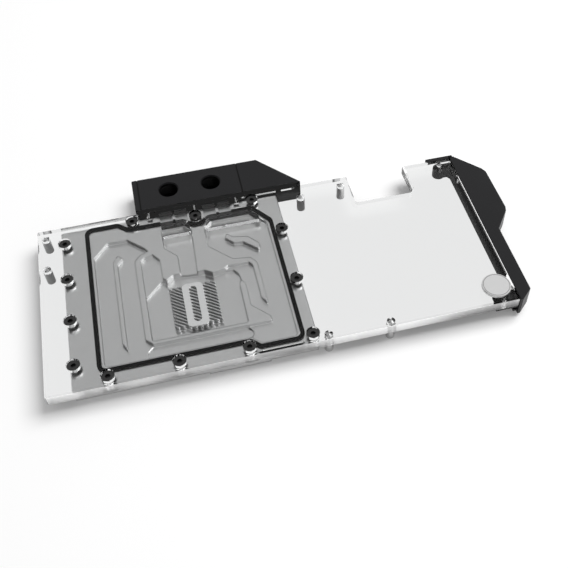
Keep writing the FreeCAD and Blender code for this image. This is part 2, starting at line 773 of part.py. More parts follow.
def ridge_outline():
    """The long ridge in front of and beside the fin chamber."""
    ridge_left = chamber_left - ridge_thickness
    ridge_front = chamber_front - front_ridge_thickness
    return [(ridge_left, ridge_front + 3.6, 1.0),
            (ridge_left + 3.4, ridge_front, 1.0),
            (front_ridge_right, ridge_front, None),
            (front_ridge_right + 0.2, chamber_front + 1.2, None),
            (chamber_right + ridge_thickness, hook_front + 0.2, 1.5),
            (chamber_right + ridge_thickness, chamber_back - 13.2, None),
            (chamber_right + 1.4, chamber_back - 11.4, None),
            (chamber_right, chamber_back - 12.6, None),
            (chamber_right, chamber_front, 1.5),
            (chamber_left, chamber_front, 1.5),
            (chamber_left, shelf_front_y + 3.8, 1.5),
            (chamber_left + 2.4, shelf_front_y + 5.9, 1.0),
            (shelf_pocket - 2.9, shelf_front_y + 7.4, None),
            (shelf_pocket - 4.3, shelf_front_y + 10.6, None),
            (ridge_left + 3.6, shelf_front_y + 8.4, 1.5),
            (ridge_left, shelf_front_y + 4.4, 1.5)]


def chamber_outline():
    """The deep chamber round the fins."""
    return [(chamber_left, chamber_front, 1.5), (chamber_right, chamber_front, 1.5),
            (chamber_right, chamber_back - 12.6, None), (chamber_right + 1.8, chamber_back - 10.7, None),
            (chamber_right + 1.0, chamber_back - 5.0, None), (chamber_right - 1.5, chamber_back - 0.8, None),
            (chamber_right - 6.2, chamber_back - 0.4, None), (chamber_right - 13.2, chamber_back - 1.8, None),
            (chamber_right - 17.7, chamber_back + 1.3, None), (inlet_right - 0.9, chamber_back + 1.2, None),
            (shelf_step - 0.2, chamber_back + 2.2, None), (shelf_step - 4.4, chamber_back + 2.0, None),
            (shelf_pocket + 1.8, chamber_back - 1.2, None), (shelf_pocket, chamber_back + 1.2, None),
            (chamber_left, chamber_back - chamber_cut, None)]


def make_cold_plate():
    body = new_body("cold_plate_blank")
    right, back = cold_right, cold_front + cold_width
    outline = new_sketch(body, "cold_outline", lift=cold_level)
    add_rectangle(outline, cold_left, cold_front, right, back, cold_corner)
    slab = pad(body, outline, cold_thickness - seat_gap)
    chamfer(body, slab, edges_at_height(slab.Shape, cold_top.value), cold_bevel)

    flow = new_sketch(body, "flow_area", lift=cold_top)
    add_outline(flow, wet_outline())
    divider_right = divider_left + divider_thickness
    add_outline(flow, [(divider_right + 0.1, divider_front - 4.3, None), (divider_right, divider_back, None),
                       (divider_right + 3.4, divider_back + 3.7, 0.6), (divider_right + 0.5, divider_back + 6.8, 0.6),
                       (divider_left, divider_back + 1.0, None), (divider_left, divider_front, None)])
    rise = island_thickness
    add_outline(flow, [(chamber_right - 2.4, hook_back + 21.6, 0.8), (chamber_right + 1.9, hook_back + 16.8, 1.5),
                       (chamber_right + 7.5, hook_back + 16.0, 1.5), (front_ridge_right + 3.4, hook_back + 7.7, 0.8),
                       (front_ridge_right + 4.3, hook_back + 12.7, 0.8), (chamber_right + 10.7, hook_back + 16.3 + rise, 1.5),
                       (chamber_right + 2.6, hook_back + 17.8 + rise, 1.5), (chamber_right - 0.7, hook_back + 21.3 + rise, 0.8)])
    pocket(body, flow, channel_depth)
    for name, corners in (("shelf", shelf_outline()), ("hook", hook_outline()), ("ridge", ridge_outline())):
        land = new_sketch(body, name, lift=channel_floor)
        add_outline(land, corners)
        pad(body, land, channel_depth)
    chamber = new_sketch(body, "fin_chamber", lift=cold_top)
    add_outline(chamber, chamber_outline())
    pocket(body, chamber, chamber_depth)
    channel = new_sketch(body, "front_channel", lift=cold_top)
    ridge_front = chamber_front - front_ridge_thickness
    low = wet_outline()[0][1]
    add_outline(channel, [(front_channel_left, low, 1.5), (front_channel_right - 3.0, low, 1.5),
                          (front_channel_right, low + 3.0, 1.0), (front_channel_right, ridge_front - 3.2, 1.0),
                          (front_channel_right - 2.3, ridge_front, 1.0), (front_channel_left + 3.0, ridge_front, 1.0),
                          (front_channel_left, ridge_front - 3.0, 1.0)])
    pocket(body, channel, front_channel_depth)

    step = new_sketch(body, "front_step", lift=cold_top)
    step_right = right_row_x - front_step_gap
    add_rectangle(step, step_right - front_step_length, cold_front - 1.0, step_right, cold_front + front_step_width)
    pocket(body, step, front_step_depth)

    tapped = new_sketch(body, "tapped_holes", lift=cold_top)
    for x, y in clamp_places:
        add_circle(tapped, x, y, screw_radius)
    pocket(body, tapped, screw_bite + 0.4)

    chip = new_sketch(body, "chip_pad", lift=cold_level - chip_pad_height)
    half = chip_pad_width / 2
    add_rectangle(chip, fin_middle_x - half, fin_middle_y - half, fin_middle_x + half, fin_middle_y + half)
    pad(body, chip, chip_pad_height)
    pads = new_sketch(body, "side_pads", lift=cold_level - side_pad_height)
    low, high = cold_front + side_pad_margin, back - side_pad_margin
    left_pad = cold_left + side_pad_inset
    right_pad = right - side_pad_inset
    add_rectangle(pads, left_pad, low, left_pad + side_pad_width, high)
    add_rectangle(pads, right_pad - side_pad_width, low, right_pad, high)
    add_rectangle(pads, front_pad_left, cold_front, front_pad_right, cold_front + front_pad_width)
    pad(body, pads, side_pad_height)

    fins = new_body("fin_block")
    block = new_sketch(fins, "fin_outline", lift=chamber_floor - 0.3)
    add_rectangle(block, fin_left, fin_front, fin_left + fin_block_length, fin_front + fin_block_width)
    pad(fins, block, fin_height + 0.3)
    gaps = new_sketch(fins, "fin_gaps", lift=chamber_floor + fin_height)
    gaps.AttachmentOffset = Placement(Vector(fin_middle_x.value, fin_middle_y.value, (chamber_floor + fin_height).value),
                                      Rotation(Vector(0, 0, 1), -fin_turn.value))
    gaps.setExpression("AttachmentOffset.Base.x", fin_middle_x.text)
    gaps.setExpression("AttachmentOffset.Base.y", fin_middle_y.text)
    gaps.setExpression("AttachmentOffset.Rotation.Angle", "-Sizes.fin_turn * 1 deg")
    reach = fin_block_length
    rows = int(math.hypot(fin_block_length.value, fin_block_width.value) / fin_pitch.value / 2)
    for i in range(-rows, rows + 1):
        add_rectangle(gaps, -reach, fin_pitch * i - fin_gap / 2, reach, fin_pitch * i + fin_gap / 2)
    pocket(fins, gaps, fin_height)
    doc.recompute()
    plate = doc.addObject("Part::Fuse", "cold_plate")
    plate.Base = body
    plate.Tool = fins
    plate.Label = "cold_plate"
    return seat(plate)


def make_jet_plate():
    body = new_body("jet_plate")
    sketch = new_sketch(body, "jet_outline", lift=cold_top - jet_thickness)
    half = jet_width / 2
    middle = fin_middle_x
    low, high = fin_front - jet_front_overhang, fin_front + fin_block_width + jet_back_overhang
    add_rectangle(sketch, middle - half, low, middle + half, high, jet_corner)
    half = jet_slot_width / 2
    add_rectangle(sketch, middle - half, low + jet_slot_margin, middle + half, high - jet_slot_margin * 0.75,
                  jet_slot_width * 0.48)
    pad(body, sketch, jet_thickness)
    return seat(body)


def make_main_seal():
    body = new_body("main_seal")
    path = new_sketch(body, "seal_path", lift=cold_top)
    add_outline(path, seal_route())
    section = new_sketch(body, "seal_section", role="YZ_Plane", lift=seal_left + seal_corner)
    half = seal_cord / 2
    cut = half * 0.4
    high = cold_top + seal_height
    add_outline(section, [(seal_front - half, cold_top, None), (seal_front + half, cold_top, None),
                          (seal_front + half, high - cut, None), (seal_front + half - cut, high, None),
                          (seal_front - half + cut, high, None), (seal_front - half, high - cut, None)])
    sweep(body, path, section)
    return seat(body)


# Port block


def make_port_block():
    body = new_body("port_block")
    right = terminal_left + terminal_length
    outline = new_sketch(body, "port_block_outline", lift=zero)
    add_outline(outline, [(terminal_left, terminal_front, terminal_edge), (right - 0.5, terminal_front, None),
                          (right, terminal_front + 2.8, None),
                          (terminal_left + terminal_back_length, terminal_back, None),
                          (terminal_left, terminal_back, terminal_edge)])
    block = pad(body, outline, plate_top)
    chamfer(body, block, edges_at_height(block.Shape, plate_top.value), terminal_bevel)
    step = new_sketch(body, "lip_seat", lift=plate_top)
    add_rectangle(step, terminal_left - 1.0, terminal_front - 1.0, right + 1.0, terminal_front + lip_reach)
    pocket(body, step, lip_thickness)
    lines = new_sketch(body, "fine_grooves", lift=plate_top)
    for x in (left_groove_x, right_groove_x):
        add_rectangle(lines, x - groove_width / 2, terminal_front, x + groove_width / 2, terminal_back + 1.0)
    pocket(body, lines, groove_depth)

    port_y = terminal_front + port_back
    mouths = new_sketch(body, "port_chamfers", lift=plate_top)
    ports = new_sketch(body, "ports", lift=plate_top)
    for x in (port_x, outlet_x):
        add_circle(mouths, x, port_y, port_radius + port_chamfer)
        add_circle(ports, x, port_y, port_radius)
    pocket(body, mouths, port_chamfer)
    pocket(body, ports, port_depth)
    ways = new_sketch(body, "block_ducts", role="XZ_Plane", lift=-terminal_front)
    necks = new_sketch(body, "block_necks", role="XZ_Plane", lift=-terminal_front)
    for x in (port_x, outlet_x):
        for sketch, half in ((ways, duct_width / 2), (necks, duct_neck / 2)):
            add_rectangle(sketch, x - half, duct_bottom, x + half, duct_bottom + duct_height)
    pocket(body, ways, duct_flare)
    pocket(body, necks, port_back)

    through = new_sketch(body, "block_screw_holes", role="XZ_Plane", lift=-terminal_front)
    sinks = new_sketch(body, "block_screw_sinks", role="XZ_Plane", lift=-terminal_back)
    for x in terminal_screw_places:
        add_circle(through, x, duct_middle, terminal_screw_radius + 0.1)
        add_circle(sinks, x, duct_middle, terminal_screw_head + 0.2)
    pocket(body, through, terminal_depth)
    pocket(body, sinks, terminal_screw_sink, upwards=True)

    keys = new_sketch(body, "keys", role="XZ_Plane", lift=-(terminal_front + 0.5))
    add_keys(keys, zero)
    pad(body, keys, key_depth + 0.5)
    return seat(body)


def make_port_seal(name, middle):
    body = new_body(name)
    ring = new_sketch(body, name + "_outline", role="XZ_Plane", lift=-plate_width)
    add_port_ring(ring, middle)
    pad(body, ring, port_seal_cord)
    return seat(body)


def add_hexagon(sketch, x, y, across):
    """A hexagon whose corners lie along x."""
    reach = across / 2 / math.cos(math.pi / 6)
    half = across / 2
    add_outline(sketch, [(x + reach, y, None), (x + reach / 2, y + half, None), (x - reach / 2, y + half, None),
                         (x - reach, y, None), (x - reach / 2, y - half, None), (x + reach / 2, y - half, None)])


def make_screws(name, places, role, seat_level, away, shank, shank_length, head, head_height, hexagon, hex_depth):
    """Socket head screws in one row. Their heads point along away: 1 or -1 along the plane's normal."""
    body = new_body(name)
    body.AllowCompound = True
    shanks = new_sketch(body, name + "_shanks", role=role,
                        lift=seat_level - shank_length if away > 0 else seat_level)
    heads = new_sketch(body, name + "_heads", role=role,
                       lift=seat_level if away > 0 else seat_level - head_height)
    top = seat_level + head_height * away
    sockets = new_sketch(body, name + "_sockets", role=role, lift=top)
    for x, y in places:
        add_circle(shanks, x, y, shank)
        add_circle(heads, x, y, head)
        add_hexagon(sockets, x, y, hexagon)
    pad(body, heads, head_height)
    pad(body, shanks, shank_length)
    pocket(body, sockets, hex_depth, upwards=away < 0)
    return seat(body)


def make_clamp_screws(name, places):
    return make_screws(name, places, "XY_Plane", plate_top - screw_sink, 1, screw_radius,
                       screw_bite + plate_thickness - screw_sink, screw_head_radius, screw_head_height,
                       screw_hex, screw_hex_depth)


def make_standoffs(name, places):
    body = new_body(name)
    body.AllowCompound = True
    posts = new_sketch(body, name + "_posts", lift=zero)
    spigots = new_sketch(body, name + "_spigots", lift=plate_level - seat_gap)
    bores = new_sketch(body, name + "_bores", lift=zero)
    for x, y in places:
        add_circle(posts, x, y, standoff_radius)
        add_circle(spigots, x, y, spigot_radius)
        add_circle(bores, x, y, standoff_bore_radius)
    pad(body, posts, standoff_height - seat_gap)
    pad(body, spigots, spigot_length + seat_gap)
    pocket(body, bores, standoff_bore_depth, upwards=True)
    return seat(body)


# End cover and lighting


def cover_outline(inset, left):
    """The cover's outline from above, inset by a wall's thickness."""
    return [(left, -cover_overhang + inset, None),
            (cover_x + 1.5 - inset * 0.2, -cover_overhang + inset, None),
            (cover_x + cover_waist - inset, cover_drop - 0.8 + inset * 0.4, None),
            (cover_x + cover_waist - inset, waist_end + inset * 0.3, None),
            (cover_right - 0.9 - inset, shoulder_y - 3.0 + inset * 0.3, None),
            (cover_right - inset, shoulder_y, None),
            (cover_right - 0.4 - inset, plate_width - 17.5 - inset * 0.2, None),
            (cover_right - 2.0 - inset, plate_width - 14.3 - inset * 0.6, None),
            (cover_x + 2.7 - inset * 0.4, plate_width + 0.4 - inset, None),
            (left, plate_width + 0.4 - inset, None)]


def make_end_cover():
    body = new_body("end_cover")
    outline = new_sketch(body, "cover_outline", lift=cover_bottom)
    add_outline(outline, cover_outline(zero, cover_x))
    shell = pad(body, outline, plate_top - cover_bottom)
    chamfer(body, shell, edges_at_height(shell.Shape, plate_top.value), as_size(0.3))
    hollow = new_sketch(body, "cover_hollow", lift=cover_bottom)
    add_outline(hollow, cover_outline(cover_wall, cover_x - 1.0))
    pocket(body, hollow, plate_top - cover_roof - cover_bottom, upwards=True)
    clip = new_sketch(body, "clip_finger", lift=plate_level)
    clip_left = cover_x - clip_length
    clip_front = plate_width + seat_gap
    add_rectangle(clip, clip_left, clip_front, cover_x + cover_wall, clip_front + clip_thickness)
    pad(body, clip, plate_thickness + seat_gap + clip_rise)
    hook = new_sketch(body, "clip_hook", lift=plate_top + seat_gap)
    add_rectangle(hook, clip_left, plate_width - clip_overlap, cover_x - 0.8, clip_front + clip_thickness)
    pad(body, hook, clip_rise)
    bosses = new_sketch(body, "cover_bosses", lift=cover_bottom + housing_floor)
    bores = new_sketch(body, "cover_screw_bores", lift=cover_bottom + housing_floor)
    for x, y in cover_screw_places:
        add_circle(bosses, x, y, cover_boss)
        add_circle(bores, x, y, cover_screw_radius)
    pad(body, bosses, plate_top - cover_roof - cover_bottom - housing_floor + 0.2)
    pocket(body, bores, cover_screw_length - housing_floor + 0.4, upwards=True)
    return seat(body)


def make_light_housing():
    body = new_body("light_housing")
    floor = new_sketch(body, "housing_floor_outline", lift=cover_bottom)
    left = plate_length + 0.1 - housing_wall
    add_outline(floor, cover_outline(cover_wall + 0.2, left))
    pad(body, floor, housing_floor)
    wall = new_sketch(body, "housing_wall_outline", lift=cover_bottom)
    add_rectangle(wall, left, front_lug_y + 1.0, plate_length + 0.1, back_lug_y - 4.0)
    pad(body, wall, cover_drop)
    back_lug = new_sketch(body, "back_lug", lift=cover_bottom)
    add_circle(back_lug, lug_x, back_lug_y, lug_radius)
    pad(body, back_lug, cover_drop)
    arm = new_sketch(body, "back_arm", lift=cover_bottom)
    add_outline(arm, [(lug_x, back_lug_y - lug_radius * 0.8, None), (left - 1.4, back_lug_y - lug_radius * 0.8, None),
                      (left + 0.2, back_lug_y - 5.6, None), (plate_length + 0.1, back_lug_y - 5.6, None),
                      (plate_length + 0.1, plate_width - 1.2, None), (lug_x, plate_width - 1.2, None)])
    pad(body, arm, cover_drop)
    front_lug = new_sketch(body, "front_lug", lift=housing_top - front_lug_thickness)
    add_outline(front_lug, [(plate_length - front_lug_length, zero, None), (plate_length + 0.1, zero, None),
                            (plate_length + 0.1, front_lug_y + lug_radius, None),
                            (plate_length - front_lug_length, front_lug_y + lug_radius, 2.0)])
    pad(body, front_lug, front_lug_thickness)
    holes = new_sketch(body, "lug_screw_holes", lift=housing_top)
    for x, y in lug_places:
        add_circle(holes, x, y, lug_screw_radius + 0.1)
    pocket(body, holes, cover_drop)
    sink = new_sketch(body, "lug_screw_sink", lift=cover_bottom)
    add_circle(sink, lug_x, back_lug_y, lug_screw_head + 0.2)
    pocket(body, sink, cover_drop - front_lug_thickness, upwards=True)
    below = new_sketch(body, "cover_screw_holes", lift=cover_bottom)
    for x, y in cover_screw_places:
        add_circle(below, x, y, cover_screw_radius + 0.1)
    pocket(body, below, housing_floor, upwards=True)
    return seat(body)


def make_light_board():
    body = new_body("light_board")
    strip = new_sketch(body, "board_outline", lift=cover_bottom + housing_floor)
    left = cover_x + board_setback
    add_rectangle(strip, left, guide_front + board_margin, left + board_thickness, guide_back - board_margin)
    pad(body, strip, board_height)
    return seat(body)


def make_light_diodes():
    body = new_body("light_diodes")
    body.AllowCompound = True
    row = new_sketch(body, "diode_outlines", lift=plate_level + 0.4)
    right = cover_x + board_setback
    board_length = guide_back - guide_front - board_margin * 2
    count = int((board_length - led_size).value / led_pitch.value) + 1
    for i in range(count):
        y = (guide_front + guide_back) / 2 + led_pitch * (i - (count - 1) / 2)
        add_rectangle(row, right - led_thickness, y - led_size / 2, right, y + led_size / 2)
    pad(body, row, led_size)
    return seat(body)


def make_light_guide():
    body = new_body("light_guide")
    bar = new_sketch(body, "guide_outline", lift=plate_level)
    add_outline(bar, light_guide_outline(plate_length, zero))
    pad(body, bar, plate_thickness)
    return seat(body)


def make_badge():
    body = new_body("badge")
    disc = new_sketch(body, "badge_outline", lift=plate_top)
    add_circle(disc, badge_x, badge_y, badge_radius)
    plate = pad(body, disc, badge_thickness)
    chamfer(body, plate, edges_at_height(plate.Shape, (plate_top + badge_thickness).value), as_size(0.25))
    return seat(body)


doc.recompute()
make_top_plate()
make_cold_plate()
make_jet_plate()
make_main_seal()
make_port_block()
make_port_seal("inlet_seal", port_x)
make_port_seal("outlet_seal", outlet_x)
make_screws("port_block_screws", [(x, duct_middle) for x in terminal_screw_places], "XZ_Plane",
            -(terminal_back - terminal_screw_sink), -1, terminal_screw_radius,
            terminal_depth - terminal_screw_sink + terminal_screw_bite, terminal_screw_head,
            terminal_screw_head_height, as_size(2.5), as_size(1.5))
make_clamp_screws("clamp_screws_left", left_row)
make_clamp_screws("clamp_screws_front", front_row)
make_clamp_screws("clamp_screws_right", right_row)
make_clamp_screws("clamp_screws_back", back_row)
make_standoffs("standoffs_left", left_standoffs)
make_standoffs("standoffs_middle", middle_standoffs)
make_standoffs("standoffs_front", front_standoffs)
make_end_cover()
make_light_housing()
make_light_board()
make_light_diodes()
make_light_guide()
make_screws("lug_screws", lug_places, "XY_Plane", housing_top - front_lug_thickness, -1, lug_screw_radius,
            front_lug_thickness + seat_gap + plate_thickness - lug_screw_cover, lug_screw_head,
            lug_screw_head_height, as_size(2.0), as_size(1.0))
make_screws("cover_screws", cover_screw_places, "XY_Plane", cover_bottom, -1, cover_screw_radius,
            cover_screw_length, cover_screw_head, cover_screw_head_height, as_size(1.5), as_size(0.7))
make_badge()
doc.recompute()

for thing in doc.Objects:
    if "Invalid" in thing.State or "Error" in thing.State:
        raise RuntimeError("%s failed: %s" % (thing.Name, thing.State))
os.makedirs("parts", exist_ok=True)
for part in finished:
    if part.Shape.isNull() or not part.Shape.isValid():
        raise RuntimeError("%s has no valid shape" % part.Label)
    part.Shape.exportStep("parts/%s.step" % part.Label)
    print(part.Label, len(part.Shape.Solids), round(part.Shape.Volume, 1))
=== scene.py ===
import json
import math

import bpy
import numpy as np
from mathutils import Matrix, Vector


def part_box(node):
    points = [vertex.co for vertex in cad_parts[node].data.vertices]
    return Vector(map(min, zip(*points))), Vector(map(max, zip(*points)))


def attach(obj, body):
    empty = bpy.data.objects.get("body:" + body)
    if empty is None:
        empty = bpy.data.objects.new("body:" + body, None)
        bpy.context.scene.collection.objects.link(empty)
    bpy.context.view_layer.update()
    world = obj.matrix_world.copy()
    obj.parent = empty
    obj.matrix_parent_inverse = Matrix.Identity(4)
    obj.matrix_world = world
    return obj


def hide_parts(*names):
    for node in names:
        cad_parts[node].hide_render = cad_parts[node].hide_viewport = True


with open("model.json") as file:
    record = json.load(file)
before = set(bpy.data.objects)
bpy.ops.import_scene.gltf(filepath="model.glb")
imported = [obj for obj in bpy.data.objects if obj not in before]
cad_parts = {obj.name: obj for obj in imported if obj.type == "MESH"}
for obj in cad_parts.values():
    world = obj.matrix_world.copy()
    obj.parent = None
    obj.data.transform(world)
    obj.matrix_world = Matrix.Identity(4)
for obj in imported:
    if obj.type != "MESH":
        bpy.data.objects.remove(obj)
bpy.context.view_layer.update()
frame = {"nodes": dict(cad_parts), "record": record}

bl_info = {
    "name": "Cooling Block Finishes",
    "version": (1, 0, 0),
    "blender": (4, 5, 0),
    "location": "View3D > Sidebar > Cooling Block",
    "description": "Finishes, threads and studio for a clear topped liquid cooling block",
    "category": "Object",
}

HAIR = 0.00001  # a hundredth of a millimetre
CAMERA_PLACE = (-0.049049, -0.313066, 0.367566)
CAMERA_PITCH, CAMERA_YAW, CAMERA_ROLL = 0.8907, 0.2397, 0.0101
CAMERA_SHIFT = (-0.0772, 0.0002)

nodes = frame["nodes"]
groups = {}


# Grid surfaces


def grid_faces(rows, columns):
    """Quads between the neighbouring points of a grid of rows and columns."""
    i, j = np.meshgrid(np.arange(rows - 1), np.arange(columns - 1), indexing="ij")
    first = i * columns + j
    return np.stack([first, first + columns, first + columns + 1, first + 1], axis=-1).reshape(-1, 4)


def thread_surface(centre, radius, depth, pitch, bottom, top, steps=48, width=7):
    """A screw thread in a hole, as a grid: along the turn the angle and the height grow together, and
    across it the radius runs from the root to the crest and back, so the flanks meet at a rounded ridge.
    Over the first and the last half turn the ridge rises from nothing and dies away."""
    turns = (top - bottom) / pitch - 1.0
    count = int(turns * steps) + 1
    angle = np.linspace(0, turns * 2 * np.pi, count)[:, None]
    across = np.linspace(0, 1, width)[None, :]
    crest = (1 - np.cos(2 * np.pi * across)) / 2
    fade = np.clip(np.minimum(angle, angle[-1] - angle) / np.pi, 0, 1)
    reach = radius - depth * crest * fade
    height = bottom + (angle / (2 * np.pi) + across) * pitch
    points = np.stack([centre[0] + reach * np.cos(angle), centre[1] + reach * np.sin(angle),
                       np.broadcast_to(height, reach.shape)], axis=-1)
    return points.reshape(-1, 3), grid_faces(count, width)[:, ::-1]


def joined(shapes):
    """One list of points and faces from several, with the faces' numbers moved on."""
    points, faces, start = [], [], 0
    for some_points, some_faces in shapes:
        points.append(some_points)
        faces.append(some_faces + start)
        start += len(some_points)
    return np.concatenate(points), np.concatenate(faces)


def mesh_object(name, points, faces, material):
    """Puts worked out points and faces in a mesh, and its object in the scene."""
    mesh = bpy.data.meshes.new(name)
    points = np.asarray(points, dtype=float).reshape(-1, 3)
    mesh.from_pydata(points.tolist(), [], np.asarray(faces).tolist())
    mesh.materials.append(material)
    made = bpy.data.objects.new(name, mesh)
    bpy.context.scene.collection.objects.link(made)
    return made


def mesh_piece(name, points, faces, material, smooth=True):
    """A mesh that rides on the block."""
    piece = mesh_object(name, points, faces, material)
    piece.data.polygons.foreach_set("use_smooth", [smooth] * len(piece.data.polygons))
    piece.data.update()
    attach(piece, "root")
    return piece


# Node trees


def node(tree, kind, **values):
    """A new node with some of its properties set."""
    made = tree.nodes.new(kind)
    for key, value in values.items():
        setattr(made, key, value)
    return made


def feed(tree, value, socket):
    """Gives a socket a number or a colour, or links another node's output to it."""
    if isinstance(value, bpy.types.NodeSocket):
        tree.links.new(value, socket)
    else:
        socket.default_value = value


def feed_all(tree, made, **values):
    """Feeds several sockets of one node, named with underscores for spaces."""
    for label, value in values.items():
        feed(tree, value, made.inputs[label.replace("_", " ")])
    return made


def worked(tree, operation, *values):
    """The result of a Math node on numbers or other nodes' outputs."""
    made = node(tree, "ShaderNodeMath", operation=operation)
    for value, socket in zip(values, made.inputs):
        feed(tree, value, socket)
    return made.outputs[0]


def ramped(tree, value, start, end, low, high, **properties):
    """Goes from low to high while the value goes from start to end."""
    made = node(tree, "ShaderNodeMapRange", **properties)
    feed_all(tree, made, Value=value, From_Min=start, From_Max=end, To_Min=low, To_Max=high)
    return made.outputs[0]


def mixed(tree, mask, first, second):
    """The first colour, and the second where the mask is 1."""
    made = node(tree, "ShaderNodeMix", data_type="RGBA")
    return feed_all(tree, made, Factor=mask, A=first, B=second).outputs["Result"]


def noise(tree, place, scale, detail):
    """A cloudy value between 0 and 1 at a place."""
    made = node(tree, "ShaderNodeTexNoise")
    return feed_all(tree, made, Vector=place, Scale=scale, Detail=detail).outputs["Fac"]


def block_place(tree):
    """The place on the block, in metres."""
    return node(tree, "ShaderNodeTexCoord").outputs["Object"]


def block_axes(tree):
    """The place on the block as its X, Y and Z."""
    parts = node(tree, "ShaderNodeSeparateXYZ")
    feed(tree, block_place(tree), parts.inputs[0])
    return parts.outputs


# Shared effects


def effect_group(name, *inputs):
    """A node group with named inputs, which puts out a finish's colour, roughness and height."""
    group = bpy.data.node_groups.new(name, "ShaderNodeTree")
    for label, kind, default in inputs:
        group.interface.new_socket(name=label, in_out="INPUT", socket_type=kind).default_value = default
    for label, kind in (("Colour", "NodeSocketColor"), ("Roughness", "NodeSocketFloat"),
                        ("Height", "NodeSocketFloat")):
        group.interface.new_socket(name=label, in_out="OUTPUT", socket_type=kind)
    return group, node(group, "NodeGroupInput").outputs, node(group, "NodeGroupOutput")


def close_group(group, result, source, tone, uneven, roughness_change, height):
    """The colour times its tone, the roughness plus its share of the unevenness, and the height."""
    toned = node(group, "ShaderNodeVectorMath", operation="SCALE")
    feed(group, source["Colour"], toned.inputs[0])
    feed(group, tone, toned.inputs["Scale"])
    rough = worked(group, "MULTIPLY_ADD", uneven, roughness_change, source["Roughness"])
    feed_all(group, result, Colour=toned.outputs[0], Roughness=rough, Height=height)
    return group


def milled_surface_group():
    """Cutter marks, as fine rings round the block's middle that waver, two marks to a wave, with a slow
    change of tone and roughness."""
    scale_per_mark, waver, cloud_scale = 0.16, 1.5, 30
    group, source, result = effect_group(
        "Milled Surface",
        ("Colour", "NodeSocketColor", (0.5, 0.5, 0.5, 1)), ("Tone Change", "NodeSocketFloat", 0.1),
        ("Marks Per Metre", "NodeSocketFloat", 900.0), ("Roughness", "NodeSocketFloat", 0.3))
    place = block_place(group)
    rings = node(group, "ShaderNodeTexWave", wave_type="RINGS", rings_direction="Z")
    scale = worked(group, "MULTIPLY", source["Marks Per Metre"], scale_per_mark)
    feed_all(group, rings, Vector=place, Scale=scale, Distortion=waver, Detail=1.0)
    uneven = worked(group, "SUBTRACT", noise(group, place, cloud_scale, 4), 0.5)
    tone = worked(group, "MULTIPLY_ADD", uneven, source["Tone Change"], 1.0)
    return close_group(group, result, source, tone, uneven, 0.12, rings.outputs["Fac"])


def fine_grain_group():
    """The grain of moulded or turned plastic: small bumps and a slight change of tone."""
    cloud_scale = 45
    group, source, result = effect_group(
        "Fine Grain",
        ("Colour", "NodeSocketColor", (0.03, 0.03, 0.03, 1)),
        ("Grains Per Metre", "NodeSocketFloat", 2500.0), ("Roughness", "NodeSocketFloat", 0.4))
    place = block_place(group)
    grain = noise(group, place, source["Grains Per Metre"], 2)
    slow = noise(group, place, cloud_scale, 2)
    tone = worked(group, "MULTIPLY_ADD", slow, 0.5, 0.75)
    return close_group(group, result, source, tone, slow, 0.15, grain)


def finish_material(name, effect, values, bump, strength, metallic=0.0, **plain):
    """A material whose colour, roughness and bump come from one of the shared effects. The plain values
    are set on the shader's own sockets."""
    material = bpy.data.materials.new(name)
    material.use_nodes = True
    tree = material.node_tree
    shader = tree.nodes["Principled BSDF"]
    made = node(tree, "ShaderNodeGroup", node_tree=groups[effect])
    for label, value in values.items():
        made.inputs[label].default_value = value
    raised = node(tree, "ShaderNodeBump")
    feed_all(tree, raised, Distance=bump, Strength=strength, Height=made.outputs["Height"])
    feed_all(tree, shader, Base_Color=made.outputs["Colour"], Roughness=made.outputs["Roughness"],
             Normal=raised.outputs["Normal"], Metallic=metallic, **plain)
    return material


def paint_over(material, mask, colour):
    """Lays a colour over the material's own where the mask is 1."""
    tree = material.node_tree
    base = tree.nodes["Principled BSDF"].inputs["Base Color"]
    feed(tree, mixed(tree, mask, base.links[0].from_socket, colour), base)


def round_edges(material, radius):
    """Lets the milled edges catch light as the real ones do, which the cutter leaves slightly rounded."""
    tree = material.node_tree
    edge = node(tree, "ShaderNodeBevel", samples=16)
    edge.inputs["Radius"].default_value = radius
    raised = tree.nodes["Principled BSDF"].inputs["Normal"].links[0].from_node
    feed(tree, edge.outputs["Normal"], raised.inputs["Normal"])


def dress(names, material):
    """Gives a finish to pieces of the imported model."""
    for name in names:
        mesh = nodes[name].data
        mesh.materials.clear()
        mesh.materials.append(material)


def grey(level):
    return (level, level, level, 1.0)


# Settings


class ClearPlateSettings(bpy.types.PropertyGroup):
    tint: bpy.props.FloatVectorProperty(
        name="Tint", description="Colour of the clear plate", subtype="COLOR", size=4,
        default=(0.93, 0.935, 0.935, 1.0))
    haze: bpy.props.FloatProperty(
        name="Haze", description="Roughness of the polished faces", default=0.0, min=0, max=1)
    side_haze: bpy.props.FloatProperty(
        name="Side Haze", description="Roughness of the sawn sides", default=0.42, min=0, max=1)
    # painted shade: the sawn sides get a darker tint than the rest of the same acrylic
    side_shade_tint: bpy.props.FloatVectorProperty(
        name="Side Tint", description="Colour of the sawn sides", subtype="COLOR", size=4,
        default=grey(0.65))
    # painted light: the sawn sides glow, though no lamp lights them
    side_painted_glow: bpy.props.FloatProperty(
        name="Side Glow", description="Light of the strip that leaves at the sawn sides",
        default=0.3, min=0)
    # painted light: how the sides' painted glow grows from the bottom to the top
    painted_glow_rise: bpy.props.FloatVectorProperty(
        name="Side Rise", description="Share of the glow at the sides' bottom and top", size=2,
        default=(0.3, 1.6))


